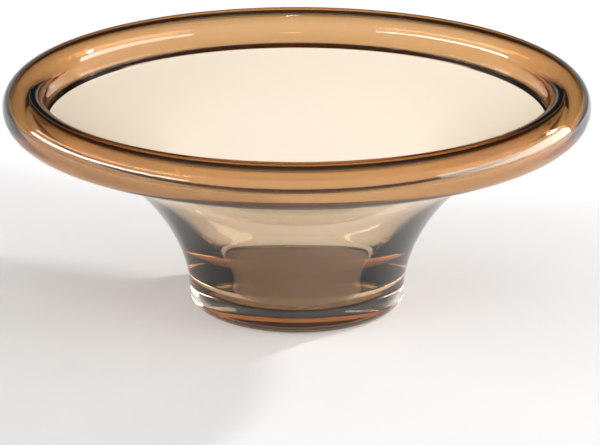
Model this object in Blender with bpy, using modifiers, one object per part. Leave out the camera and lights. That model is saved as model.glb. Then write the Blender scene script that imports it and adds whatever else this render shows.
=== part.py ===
"""Blown art glass bowl in cased glass: a flared wall on a thick foot, with a hollow rolled rim.

The vessel is round about Z and stands on Z = 0. Its masses of glass are separate objects: the foot,
the clear casing, the amber lining, and the clear and amber layers of the rim roll. Each one is a
section in the XZ plane, turned by a Screw modifier. Lengths are in metres.
"""

import math

import bpy
import bmesh

MM = 0.001

# Driving dimensions
HEIGHT = 122.5 * MM
RIM_DIAMETER = 310 * MM
ROLL_RADIUS = 11.5 * MM      # outside of the rolled rim, seen in section
CHANNEL_RADIUS = 6.5 * MM    # air channel that the roll encloses
CHANNEL_RISE = 1.2 * MM      # the roll's glass is thickest below
WAIST_RADIUS = 57.2 * MM       # narrowest part of the body, just above the foot's edge
FOOT_EDGE = 5 * MM           # rounding of the foot's lower edge
FLOOR_HEIGHT = 10 * MM       # glass under the inside floor
FLOOR_RADIUS = 44 * MM
FLOOR_FILLET = 9 * MM
LINING = 0.8 * MM            # amber layer of the wall and the floor
RIM_SKIN = 1.8 * MM          # amber layer of the roll
LIP_TAPER = 0.6              # share of that layer left at the edge of the folded lip
GAP = 0.3 * MM               # clearance between the layers
STEPS = 48                   # facets round the bowl

# Section of the wall: both sides flare as a power of the height up to BELL_HEIGHT, then lean out
# to the roll. The crease is where the folded lip comes back to the outside of the wall.
BELL_HEIGHT = 59 * MM
BELL_FLARE = 21.7 * MM
BELL_POWER = 2.15
INSIDE_FLARE = 29.4 * MM
INSIDE_POWER = 1.38
ROLL_CENTRE = (RIM_DIAMETER / 2 - ROLL_RADIUS, HEIGHT - ROLL_RADIUS)
CHANNEL_CENTRE = (ROLL_CENTRE[0] + 0.2 * MM, ROLL_CENTRE[1] + CHANNEL_RISE)
CHANNEL_SIDE = -45           # degrees round the channel's centre, where its outer side bends inward
CREASE = (ROLL_CENTRE[0] - 8 * MM, ROLL_CENTRE[1] - 11.6 * MM)
CREASE_SLOPE = math.radians(29)
CUSP = (ROLL_CENTRE[0] - 5.6 * MM, ROLL_CENTRE[1] - 7.2 * MM)      # the channel's narrow end
LIP_SLOPE = math.radians(-9)        # where the channel's underside leaves the cusp
JOINT = (ROLL_CENTRE[0] - 10.2 * MM, ROLL_CENTRE[1] - 7.6 * MM)    # wall and roll part here, inside
JOINT_SLOPE = math.radians(30)
TURN_UP = 202                # degrees round the roll's centre, where the inside reaches the round roll


def arc(centre, radius, start, end, count):
    """Points on a circle from one angle to another, in degrees."""
    points = []
    for i in range(count + 1):
        angle = math.radians(start + (end - start) * i / count)
        points.append((centre[0] + radius * math.cos(angle), centre[1] + radius * math.sin(angle)))
    return points


def curve(start, start_angle, end, end_angle, count, pull=0.38):
    """A cubic curve between two points, leaving and arriving at the given angles in radians."""
    reach = pull * math.dist(start, end)
    a = (start[0] + reach * math.cos(start_angle), start[1] + reach * math.sin(start_angle))
    b = (end[0] - reach * math.cos(end_angle), end[1] - reach * math.sin(end_angle))
    points = []
    for i in range(count + 1):
        t = i / count
        weights = ((1 - t) ** 3, 3 * t * (1 - t) ** 2, 3 * t * t * (1 - t), t ** 3)
        points.append(tuple(sum(w * p[k] for w, p in zip(weights, (start, a, b, end))) for k in (0, 1)))
    return points


def offset(points, distance):
    """The same line moved sideways: to the right of its direction where distance is positive."""
    moved = []
    for i, (r, z) in enumerate(points):
        before = points[max(i - 1, 0)]
        after = points[min(i + 1, len(points) - 1)]
        length = math.dist(before, after)
        moved.append((r + distance * (after[1] - before[1]) / length,
                      z - distance * (after[0] - before[0]) / length))
    return moved


def towards(start, end, distance):
    """The point at a distance from the start, on the way to the end."""
    share = distance / math.dist(start, end)
    return (start[0] + share * (end[0] - start[0]), start[1] + share * (end[1] - start[1]))


def levels(bottom, top, count):
    return [bottom + (top - bottom) * i / count for i in range(count + 1)]


def bell_radius(z):
    return WAIST_RADIUS + BELL_FLARE * (z / BELL_HEIGHT) ** BELL_POWER


def outside_wall(bottom):
    """The outside of the wall from a height up to the crease under the rim."""
    lower = [(bell_radius(z), z) for z in levels(bottom, BELL_HEIGHT, 5)]
    slope = math.atan2(BELL_HEIGHT, BELL_FLARE * BELL_POWER)
    return lower + curve(lower[-1], slope, CREASE, CREASE_SLOPE, 6)[1:]


def inside_wall():
    """The inside of the bowl from the middle of the floor up to the joint with the rim."""
    rise = BELL_HEIGHT - FLOOR_HEIGHT

    def inside_radius(z):
        return FLOOR_RADIUS + INSIDE_FLARE * ((z - FLOOR_HEIGHT) / rise) ** INSIDE_POWER

    wall = [(inside_radius(z), z) for z in levels(FLOOR_HEIGHT + FLOOR_FILLET, BELL_HEIGHT, 3)]
    wall_slope = math.atan2(wall[1][1] - wall[0][1], wall[1][0] - wall[0][0])
    wall += curve(wall[-1], math.atan2(rise, INSIDE_FLARE * INSIDE_POWER), JOINT, JOINT_SLOPE, 6)[1:]
    floor_edge = (wall[0][0] - 1.3 * FLOOR_FILLET, FLOOR_HEIGHT)
    corner = curve(floor_edge, 0, wall[0], wall_slope, 4, pull=0.5)
    return [(0, FLOOR_HEIGHT)] + corner + wall[1:]


def roll_outside():
    """The air side of the rim, from the joint over the top and round to the crease below."""
    tangent = arc(ROLL_CENTRE, ROLL_RADIUS, TURN_UP, TURN_UP, 1)[0]
    outline = curve(JOINT, JOINT_SLOPE, tangent, math.radians(TURN_UP - 90), 3)
    for start, end, count in ((TURN_UP, 90, 5), (90, 0, 4), (0, -90, 4)):
        outline += arc(ROLL_CENTRE, ROLL_RADIUS, start, end, count)[1:]
    return outline + [CREASE]


def under_skin(clearance):
    """The inner face of the rim's amber layer, which thins to LIP_TAPER where the lip meets the wall."""
    outer = roll_outside()
    lip = math.atan2(outer[-2][1] - CREASE[1], outer[-2][0] - CREASE[0])
    wall = math.atan2(CUSP[1] - CREASE[1], CUSP[0] - CREASE[0])
    end = towards(CREASE, CUSP, (LIP_TAPER * RIM_SKIN + clearance) / math.sin(wall - lip))
    return offset(outer, RIM_SKIN + clearance)[:-1] + [end]


def channel():
    """The air inside the roll: round above, and drawn out to a cusp between the wall and the lip."""
    across, up = CUSP[0] - CHANNEL_CENTRE[0], CUSP[1] - CHANNEL_CENTRE[1]
    to_cusp = math.degrees(math.atan2(up, across)) % 360
    top = to_cusp - math.degrees(math.acos(CHANNEL_RADIUS / math.hypot(across, up)))
    round_part = arc(CHANNEL_CENTRE, CHANNEL_RADIUS, CHANNEL_SIDE, top, 8)
    side_slope = math.radians(CHANNEL_SIDE + 90)
    return curve(CUSP, LIP_SLOPE, round_part[0], side_slope, 5)[:-1] + round_part


def turned(name, outline, material):
    """A solid of revolution. The outline is closed, or starts and ends on the axis."""
    mesh = bpy.data.meshes.new(name)
    shape = bmesh.new()
    points = [shape.verts.new((r, 0, z)) for r, z in outline]
    for a, b in zip(points, points[1:]):
        shape.edges.new((a, b))
    if outline[0][0] > 0:
        shape.edges.new((points[-1], points[0]))
    shape.to_mesh(mesh)
    shape.free()
    part = bpy.data.objects.new(name, mesh)
    mesh.materials.append(material)
    screw = part.modifiers.new("turn", "SCREW")
    screw.steps = STEPS
    screw.render_steps = STEPS
    screw.use_merge_vertices = True
    screw.merge_threshold = 0.00001
    screw.use_smooth_shade = True
    return part


def glass(name, colour):
    material = bpy.data.materials.new(name)
    material.use_nodes = True
    shader = material.node_tree.nodes["Principled BSDF"]
    shader.inputs["Base Color"].default_value = colour
    shader.inputs["Roughness"].default_value = 0.03
    shader.inputs["Metallic"].default_value = 0.0
    shader.inputs["IOR"].default_value = 1.5
    shader.inputs["Transmission Weight"].default_value = 1.0
    return material


def foot(material):
    """The solid base, flat below, under both layers of the bowl."""
    top = FLOOR_HEIGHT - LINING - GAP
    side_top = (bell_radius(top), top)
    side = [side_top] + arc((bell_radius(FOOT_EDGE) - FOOT_EDGE, FOOT_EDGE), FOOT_EDGE, 0, -90, 5)
    return turned("clear_foot", [(0, top)] + side + [(0, 0)], material)


def casing(material):
    """The clear outer layer of the wall, from the foot up to the rim."""
    bottom = FLOOR_HEIGHT - LINING
    inner = [p for p in offset(inside_wall(), LINING + GAP) if p[1] > bottom + GAP]
    toe = (inner[0][0] - (inner[0][1] - bottom), bottom)
    return turned("clear_casing", outside_wall(bottom)[::-1] + [toe] + inner, material)


def lining(material):
    """The amber inner layer of the wall, with the floor."""
    inner = inside_wall()
    return turned("amber_lining", inner + offset(inner, LINING)[::-1], material)


def rim_skin(material):
    """The amber layer of the roll. The lip is folded outward, so the bowl's inner layer lies outside."""
    outer = roll_outside()
    inner = under_skin(0)
    for line in (outer, inner):
        line[0] = towards(line[0], line[1], GAP)
        line[-1] = towards(line[-1], line[-2], 1.5 * GAP)
    return turned("amber_rim_skin", outer + inner[::-1], material)


def rim_core(material):
    """The clear layer of the roll, round the air channel. A slit stays open where the lip ends."""
    outer = under_skin(GAP)
    outer[0] = towards(outer[0], outer[1], GAP)
    outer[-1] = towards(outer[-1], outer[-2], 4 * GAP)
    air = channel()
    air[0] = towards(CUSP, air[1], 4 * GAP)
    heel = towards(CREASE, CUSP, GAP)
    return turned("clear_rim_core", outer + air + [CUSP, heel], material)


def remove_startup_objects():
    for old in list(bpy.data.objects):
        bpy.data.objects.remove(old)


def main():
    remove_startup_objects()
    clear = glass("clear_glass", (0.97, 0.97, 0.96, 1))
    amber = glass("amber_glass", (0.85, 0.56, 0.28, 1))
    bowl = bpy.data.collections.new("art_glass_bowl")
    bpy.context.scene.collection.children.link(bowl)
    for part in (foot(clear), casing(clear), lining(amber), rim_skin(amber), rim_core(clear)):
        bowl.objects.link(part)


main()
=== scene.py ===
"""Look of the blown art glass bowl: a clear casing over an amber lining, and a hollow amber rim.

Each CAD node is replaced by a fine turned surface of the same section. Where two layers are fused,
their faces lie a hair apart and have the glass's own index on both sides, so light goes straight
through; where a layer meets air, it refracts. The colour is absorption inside the amber layers.
"""

import math

import bmesh
import bpy
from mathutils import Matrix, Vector


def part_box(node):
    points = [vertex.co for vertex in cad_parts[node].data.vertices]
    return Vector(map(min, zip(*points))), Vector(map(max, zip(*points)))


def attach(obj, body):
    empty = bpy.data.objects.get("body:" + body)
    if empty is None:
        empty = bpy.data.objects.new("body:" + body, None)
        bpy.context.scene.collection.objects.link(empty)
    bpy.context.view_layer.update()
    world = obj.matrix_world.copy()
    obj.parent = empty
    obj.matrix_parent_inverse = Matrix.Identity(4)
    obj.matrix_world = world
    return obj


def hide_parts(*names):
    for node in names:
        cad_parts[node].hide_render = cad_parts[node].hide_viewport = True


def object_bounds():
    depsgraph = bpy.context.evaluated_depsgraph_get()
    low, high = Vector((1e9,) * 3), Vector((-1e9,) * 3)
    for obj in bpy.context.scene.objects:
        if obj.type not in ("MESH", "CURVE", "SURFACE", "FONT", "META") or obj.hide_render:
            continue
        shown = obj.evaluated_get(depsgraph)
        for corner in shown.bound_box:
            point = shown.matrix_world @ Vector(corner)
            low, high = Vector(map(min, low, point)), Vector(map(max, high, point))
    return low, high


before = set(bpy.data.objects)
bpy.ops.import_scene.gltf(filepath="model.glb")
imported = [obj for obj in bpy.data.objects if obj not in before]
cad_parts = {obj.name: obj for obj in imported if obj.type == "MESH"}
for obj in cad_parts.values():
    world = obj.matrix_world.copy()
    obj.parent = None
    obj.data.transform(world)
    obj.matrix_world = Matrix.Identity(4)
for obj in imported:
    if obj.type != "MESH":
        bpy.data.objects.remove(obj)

MM = 0.001
cad_low, cad_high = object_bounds()

# Sizes from the frame
skin_low, skin_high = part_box("amber_rim_skin")
ROLL_RADIUS = (skin_high.z - skin_low.z) / 2
ROLL_CENTRE = (skin_high.x - ROLL_RADIUS, skin_high.z - ROLL_RADIUS)

# Section, as in the CAD but with a finer line
WAIST_RADIUS = 57.2 * MM
FOOT_EDGE = 5 * MM
FLOOR_HEIGHT = 10 * MM
FLOOR_RADIUS = 44 * MM
FLOOR_FILLET = 9 * MM
CHANNEL_RADIUS = 6.5 * MM
CHANNEL_CENTRE = (ROLL_CENTRE[0] + 0.2 * MM, ROLL_CENTRE[1] + 1.2 * MM)
CHANNEL_SIDE = -45
LINING = 0.8 * MM
RIM_SKIN = 1.8 * MM
LIP_TAPER = 0.6
BELL_HEIGHT = 59 * MM
BELL_FLARE = 21.7 * MM
BELL_POWER = 2.15
INSIDE_FLARE = 29.4 * MM
INSIDE_POWER = 1.38
CREASE = (ROLL_CENTRE[0] - 8 * MM, ROLL_CENTRE[1] - 11.6 * MM)
CREASE_SLOPE = math.radians(29)
CUSP = (ROLL_CENTRE[0] - 5.6 * MM, ROLL_CENTRE[1] - 7.2 * MM)
LIP_SLOPE = math.radians(-9)
JOINT = (ROLL_CENTRE[0] - 10.2 * MM, ROLL_CENTRE[1] - 7.6 * MM)
JOINT_SLOPE = math.radians(30)
TURN_UP = 202
HAIR = 0.02 * MM             # between the fused faces of two layers
TURNS = 256                  # facets round the bowl
SHARP = 0.6                  # radians between two faces above which their edge stays sharp

# Glass
INDEX = 1.5
AMBER_ABSORPTION = (115, 270, 500)   # per metre of glass, in red, green and blue
WAVE_LENGTH = 45 * MM        # of the faint waves left by turning and reheating
WAVE_HEIGHT = 0.12 * MM
HAZE = 0.03                  # roughness of the dullest patches
HAZE_PATCHES = 60            # of them to a metre
BOUNCES = 40                 # glass inside glass needs many before a path reaches the room

# Studio
CAMERA_HEIGHT = 0.5698
CAMERA_BACK = 1.5156
CAMERA_SHIFT = (0.005, -0.056)
FOCAL_LENGTH = 180
ROOM_LIGHT = 0.95            # the room's side and front walls
CEILING = 0.42               # share of that light that comes from overhead
BACK_WALL = 0.03             # share of it that the wall behind the bowl gives
BACKDROP_GLOW = 0.6          # added just above the horizon behind the bowl
KEY_PLACE = (1.2, 0.72, 0.75)
KEY_POWER = 15
LEFT_PLACE = (-1.3, -0.3, 0.42)
LEFT_POWER = 20
RIGHT_PLACE = (1.4, -0.1, 0.34)
RIGHT_POWER = 24
BACKDROP_PLACE = (0.03, 0, 1.5)
BACKDROP_TARGET = (0.03, 0.6, 0)
BACKDROP_POWER = 26
BACKDROP_CONE = math.radians(32)
FLOOR_SHADE = 0.82
FLOOR_REACH = 7              # from the bowl's axis to the edge of the floor


def arc(centre, radius, start, end, count):
    """Points on a circle from one angle to another, in degrees."""
    points = []
    for i in range(count + 1):
        angle = math.radians(start + (end - start) * i / count)
        points.append((centre[0] + radius * math.cos(angle), centre[1] + radius * math.sin(angle)))
    return points


def curve(start, start_angle, end, end_angle, count, pull=0.38):
    """A cubic curve between two points, leaving and arriving at the given angles in radians."""
    reach = pull * math.dist(start, end)
    a = (start[0] + reach * math.cos(start_angle), start[1] + reach * math.sin(start_angle))
    b = (end[0] - reach * math.cos(end_angle), end[1] - reach * math.sin(end_angle))
    points = []
    for i in range(count + 1):
        t = i / count
        weights = ((1 - t) ** 3, 3 * t * (1 - t) ** 2, 3 * t * t * (1 - t), t ** 3)
        points.append(tuple(sum(w * p[k] for w, p in zip(weights, (start, a, b, end))) for k in (0, 1)))
    return points


def offset(points, distance):
    """The same line moved sideways: to the right of its direction where distance is positive."""
    moved = []
    for i, (r, z) in enumerate(points):
        before = points[max(i - 1, 0)]
        after = points[min(i + 1, len(points) - 1)]
        length = math.dist(before, after)
        moved.append((r + distance * (after[1] - before[1]) / length,
                      z - distance * (after[0] - before[0]) / length))
    return moved


def towards(start, end, distance):
    """The point at a distance from the start, on the way to the end."""
    share = distance / math.dist(start, end)
    return (start[0] + share * (end[0] - start[0]), start[1] + share * (end[1] - start[1]))


def levels(bottom, top, count):
    return [bottom + (top - bottom) * i / count for i in range(count + 1)]


def bell_radius(z):
    return WAIST_RADIUS + BELL_FLARE * (z / BELL_HEIGHT) ** BELL_POWER


def outside_wall(bottom):
    """The outside of the wall from a height up to the crease under the rim."""
    lower = [(bell_radius(z), z) for z in levels(bottom, BELL_HEIGHT, 30)]
    slope = math.atan2(BELL_HEIGHT, BELL_FLARE * BELL_POWER)
    return lower + curve(lower[-1], slope, CREASE, CREASE_SLOPE, 30)[1:]


def inside_wall():
    """The inside of the bowl from the middle of the floor up to the joint with the rim."""
    rise = BELL_HEIGHT - FLOOR_HEIGHT

    def inside_radius(z):
        return FLOOR_RADIUS + INSIDE_FLARE * ((z - FLOOR_HEIGHT) / rise) ** INSIDE_POWER

    wall = [(inside_radius(z), z) for z in levels(FLOOR_HEIGHT + FLOOR_FILLET, BELL_HEIGHT, 20)]
    wall_slope = math.atan2(wall[1][1] - wall[0][1], wall[1][0] - wall[0][0])
    wall += curve(wall[-1], math.atan2(rise, INSIDE_FLARE * INSIDE_POWER), JOINT, JOINT_SLOPE, 30)[1:]
    floor_edge = (wall[0][0] - 1.3 * FLOOR_FILLET, FLOOR_HEIGHT)
    floor = [(floor_edge[0] * share, FLOOR_HEIGHT) for share in (0, 0.25, 0.5, 0.75)]
    corner = curve(floor_edge, 0, wall[0], wall_slope, 16, pull=0.5)
    return floor + corner + wall[1:]


def roll_outside():
    """The air side of the rim, from the joint over the top and round to the crease below."""
    tangent = arc(ROLL_CENTRE, ROLL_RADIUS, TURN_UP, TURN_UP, 1)[0]
    corner = curve(JOINT, JOINT_SLOPE, tangent, math.radians(TURN_UP - 90), 12)
    round_part = arc(ROLL_CENTRE, ROLL_RADIUS, TURN_UP, -90, 73)
    lip = [towards(round_part[-1], CREASE, math.dist(round_part[-1], CREASE) * i / 5) for i in (1, 2, 3, 4)]
    return corner[:-1] + round_part + lip + [CREASE]


def under_skin(clearance):
    """The inner face of the rim's amber layer, which thins to LIP_TAPER where the lip meets the wall."""
    outer = roll_outside()
    lip = math.atan2(outer[-2][1] - CREASE[1], outer[-2][0] - CREASE[0])
    wall = math.atan2(CUSP[1] - CREASE[1], CUSP[0] - CREASE[0])
    end = towards(CREASE, CUSP, (LIP_TAPER * RIM_SKIN + clearance) / math.sin(wall - lip))
    return offset(outer, RIM_SKIN + clearance)[:-1] + [end]


def channel():
    """The air inside the roll: round above, and drawn out to a cusp between the wall and the lip."""
    across, up = CUSP[0] - CHANNEL_CENTRE[0], CUSP[1] - CHANNEL_CENTRE[1]
    to_cusp = math.degrees(math.atan2(up, across)) % 360
    top = to_cusp - math.degrees(math.acos(CHANNEL_RADIUS / math.hypot(across, up)))
    round_part = arc(CHANNEL_CENTRE, CHANNEL_RADIUS, CHANNEL_SIDE, top, 60)
    side_slope = math.radians(CHANNEL_SIDE + 90)
    return curve(CUSP, LIP_SLOPE, round_part[0], side_slope, 40)[:-1] + round_part


def turned(name, stretches, material, replaced):
    """A closed glass layer, turned from stretches of outline, each marked as facing air or fused."""
    outline = []
    facing_air = []
    for points, air in stretches:
        for point in points:
            if not outline or math.dist(point, outline[-1]) > HAIR / 10:
                outline.append(point)
                facing_air.append(air)
    shape = bmesh.new()
    air_layer = shape.faces.layers.float.new("air_side")
    rings = []
    for r, z in outline:
        if r < HAIR:
            rings.append([shape.verts.new((0, 0, z))] * TURNS)
            continue
        ring = []
        for k in range(TURNS):
            angle = math.tau * k / TURNS
            ring.append(shape.verts.new((r * math.cos(angle), r * math.sin(angle), z)))
        rings.append(ring)
    closed = outline[0][0] >= HAIR
    spans = [(i, i + 1) for i in range(len(rings) - 1)] + ([(len(rings) - 1, 0)] if closed else [])
    for i, j in spans:
        for k in range(TURNS):
            after = (k + 1) % TURNS
            corners = (rings[i][k], rings[j][k], rings[j][after], rings[i][after])
            face = shape.faces.new(tuple(dict.fromkeys(corners)))
            face.smooth = True
            face[air_layer] = 1.0 if facing_air[j] else 0.0
    for edge in shape.edges:
        faces = edge.link_faces
        edge.smooth = len({face[air_layer] for face in faces}) == 1 and edge.calc_face_angle(0) < SHARP
    if shape.calc_volume(signed=True) < 0:
        bmesh.ops.reverse_faces(shape, faces=shape.faces)
    mesh = bpy.data.meshes.new(name)
    shape.to_mesh(mesh)
    shape.free()
    mesh.materials.append(material)
    piece = bpy.data.objects.new(name, mesh)
    bpy.context.scene.collection.objects.link(piece)
    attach(piece, "root")
    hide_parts(replaced)
    return piece


def hand_worked(nodes, links, shader):
    """Slow waves of a hand-turned surface, and a handling haze that is hardly there."""
    place = nodes.new("ShaderNodeTexCoord")
    waves = nodes.new("ShaderNodeTexNoise")
    waves.inputs["Scale"].default_value = 1 / WAVE_LENGTH
    waves.inputs["Detail"].default_value = 1.5
    links.new(place.outputs["Object"], waves.inputs["Vector"])
    bump = nodes.new("ShaderNodeBump")
    bump.inputs["Strength"].default_value = 1
    bump.inputs["Distance"].default_value = WAVE_HEIGHT
    links.new(waves.outputs["Fac"], bump.inputs["Height"])
    links.new(bump.outputs[0], shader.inputs["Normal"])
    haze = nodes.new("ShaderNodeTexNoise")
    haze.inputs["Scale"].default_value = HAZE_PATCHES
    haze.inputs["Detail"].default_value = 4
    links.new(place.outputs["Object"], haze.inputs["Vector"])
    roughness = nodes.new("ShaderNodeMapRange")
    roughness.inputs["From Min"].default_value = 0.35
    roughness.inputs["From Max"].default_value = 0.75
    roughness.inputs["To Min"].default_value = 0
    roughness.inputs["To Max"].default_value = HAZE
    links.new(haze.outputs["Fac"], roughness.inputs["Value"])
    links.new(roughness.outputs[0], shader.inputs["Roughness"])


def glass(name, absorption=None):
    """Polished glass that refracts where a face meets air, with its colour taken off inside it."""
    material = bpy.data.materials.new(name)
    material.use_nodes = True
    nodes = material.node_tree.nodes
    links = material.node_tree.links
    shader = nodes["Principled BSDF"]
    shader.inputs["Base Color"].default_value = (1, 1, 1, 1)
    shader.inputs["Transmission Weight"].default_value = 1
    hand_worked(nodes, links, shader)
    side = nodes.new("ShaderNodeAttribute")
    side.attribute_name = "air_side"
    index = nodes.new("ShaderNodeMath")
    index.operation = "MULTIPLY_ADD"
    index.inputs[1].default_value = INDEX - 1
    index.inputs[2].default_value = 1
    links.new(side.outputs["Fac"], index.inputs[0])
    links.new(index.outputs[0], shader.inputs["IOR"])
    if absorption:
        density = 1.2 * max(absorption)
        volume = nodes.new("ShaderNodeVolumeAbsorption")
        volume.inputs["Color"].default_value = (*[1 - a / density for a in absorption], 1)
        volume.inputs["Density"].default_value = density
        links.new(volume.outputs[0], nodes["Material Output"].inputs["Volume"])
    return material


def foot(material):
    top = FLOOR_HEIGHT - LINING - HAIR
    edge = arc((bell_radius(FOOT_EDGE) - FOOT_EDGE, FOOT_EDGE), FOOT_EDGE, 0, -90, 16)
    side = [(bell_radius(z), z) for z in levels(top, FOOT_EDGE, 6)]
    under = [(edge[-1][0] * share, 0) for share in (0.75, 0.5, 0.25, 0)]
    return turned("foot", [([(0, top), side[0]], False), (side + edge + under, True)], material,
                  "clear_foot")


def casing(material):
    bottom = FLOOR_HEIGHT - LINING
    fused = [p for p in offset(inside_wall(), LINING + HAIR) if p[1] > bottom + HAIR]
    outside = outside_wall(bottom)[::-1]
    return turned("casing", [(outside, True), ([(fused[0][0], bottom)] + fused + outside[:1], False)],
                  material, "clear_casing")


def lining(material):
    inner = inside_wall()
    return turned("lining", [(inner, True), (offset(inner, LINING)[::-1], False)], material,
                  "amber_lining")


def rim_skin(material):
    outer = roll_outside()
    fused = under_skin(0)[::-1]
    outer[0] = towards(outer[0], outer[1], HAIR)
    outer[-1] = towards(outer[-1], outer[-2], HAIR)
    return turned("rim_skin", [(outer, True), (fused + outer[:1], False)], material,
                  "amber_rim_skin")


def rim_core(material):
    """The clear layer of the roll. A hair's slit at the crease joins its outside to the air channel."""
    fused = under_skin(HAIR)
    air = channel()
    lip_end = towards(CUSP, air[1], HAIR)
    wall_end = towards(CUSP, air[-1], HAIR)
    heel = towards(CREASE, CUSP, HAIR)
    return turned("rim_core", [(fused + [lip_end], False), (air[1:] + [wall_end], True),
                               ([heel, fused[0]], False)], material, "clear_rim_core")


def floor():
    """A plain pale surface under the bowl."""
    material = bpy.data.materials.new("pale_floor")
    material.use_nodes = True
    shader = material.node_tree.nodes["Principled BSDF"]
    shader.inputs["Base Color"].default_value = (FLOOR_SHADE, FLOOR_SHADE, FLOOR_SHADE, 1)
    shader.inputs["Roughness"].default_value = 0.6
    mesh = bpy.data.meshes.new("floor")
    corners = [(x * FLOOR_REACH, y * FLOOR_REACH, -HAIR) for x, y in ((-1, -1), (1, -1), (1, 1), (-1, 1))]
    mesh.from_pydata(corners, [], [(0, 1, 2, 3)])
    mesh.materials.append(material)
    ground = bpy.data.objects.new("floor", mesh)
    bpy.context.scene.collection.objects.link(ground)


def soft_light(name, place, target, width, height, power):
    light = bpy.data.lights.new(name, "AREA")
    light.shape = "RECTANGLE"
    light.size = width
    light.size_y = height
    light.energy = power
    lamp = bpy.data.objects.new(name, light)
    lamp.location = place
    lamp.rotation_euler = (Vector(target) - Vector(place)).to_track_quat("-Z", "Y").to_euler()
    bpy.context.scene.collection.objects.link(lamp)


def backdrop_light():
    """A spot from above that brightens the floor behind the bowl and passes over the bowl itself."""
    light = bpy.data.lights.new("backdrop", "SPOT")
    light.energy = BACKDROP_POWER
    light.spot_size = BACKDROP_CONE
    light.spot_blend = 0.2
    light.shadow_soft_size = 0.05
    lamp = bpy.data.objects.new("backdrop", light)
    lamp.location = BACKDROP_PLACE
    aim = Vector(BACKDROP_TARGET) - Vector(BACKDROP_PLACE)
    lamp.rotation_euler = aim.to_track_quat("-Z", "Y").to_euler()
    bpy.context.scene.collection.objects.link(lamp)


def fade(nodes, links, value, low, high):
    """0 below one value and 1 above the other, with a smooth step between. They may be swapped."""
    node = nodes.new("ShaderNodeMapRange")
    node.interpolation_type = "SMOOTHSTEP"
    node.inputs["From Min"].default_value = low
    node.inputs["From Max"].default_value = high
    links.new(value, node.inputs["Value"])
    return node.outputs[0]


def times_plus(nodes, links, value, factor, plus):
    """value * factor + plus, where each of the last two is a number or the output of a node."""
    node = nodes.new("ShaderNodeMath")
    node.operation = "MULTIPLY_ADD"
    for place, term in enumerate((value, factor, plus)):
        if isinstance(term, (int, float)):
            node.inputs[place].default_value = term
        else:
            links.new(term, node.inputs[place])
    return node.outputs[0]


def studio():
    """A pale room, dimmer overhead and dark behind, with a small key at the back right, a panel at each
    side, and a thin glow along the horizon behind the bowl."""
    world = bpy.data.worlds.new("studio")
    bpy.context.scene.world = world
    world.use_nodes = True
    nodes = world.node_tree.nodes
    links = world.node_tree.links
    direction = nodes.new("ShaderNodeTexCoord")
    split = nodes.new("ShaderNodeSeparateXYZ")
    links.new(direction.outputs["Generated"], split.inputs[0])
    height = split.outputs["Z"]
    behind = fade(nodes, links, split.outputs["Y"], 0.2, 0.7)
    horizon = times_plus(nodes, links, fade(nodes, links, height, 0.12, 0.02), behind, 0)
    walls = times_plus(nodes, links, behind, ROOM_LIGHT * (BACK_WALL - 1), ROOM_LIGHT)
    overhead = times_plus(nodes, links, fade(nodes, links, height, 0.55, 0.85), CEILING - 1, 1)
    room = times_plus(nodes, links, walls, overhead, 0)
    level = times_plus(nodes, links, horizon, BACKDROP_GLOW, room)
    nodes["Background"].inputs["Color"].default_value = (1, 1, 1, 1)
    links.new(level, nodes["Background"].inputs["Strength"])
    soft_light("key", KEY_PLACE, (0, 0, 0), 0.1, 0.1, KEY_POWER)
    soft_light("left", LEFT_PLACE, (0, -0.1, 0.1), 2.2, 0.14, LEFT_POWER)
    soft_light("right", RIGHT_PLACE, (0, -0.1, 0.2), 2, 0.5, RIGHT_POWER)
    backdrop_light()


def camera():
    data = bpy.data.cameras.new("camera")
    data.lens = FOCAL_LENGTH
    data.shift_x, data.shift_y = CAMERA_SHIFT
    view = bpy.data.objects.new("camera", data)
    view.location = (0, -CAMERA_BACK, CAMERA_HEIGHT)
    middle = Vector((0, 0, cad_high.z / 2))
    view.rotation_euler = (middle - view.location).to_track_quat("-Z", "Y").to_euler()
    bpy.context.scene.collection.objects.link(view)
    bpy.context.scene.camera = view


def light_paths():
    cycles = bpy.context.scene.cycles
    cycles.max_bounces = BOUNCES
    cycles.transmission_bounces = BOUNCES
    cycles.transparent_max_bounces = BOUNCES
    bpy.context.scene.view_settings.view_transform = "Standard"


def main():
    clear = glass("clear_glass_look")
    amber = glass("amber_glass_look", AMBER_ABSORPTION)
    foot(clear)
    casing(clear)
    lining(amber)
    rim_skin(amber)
    rim_core(clear)
    floor()
    studio()
    camera()
    light_paths()


main()
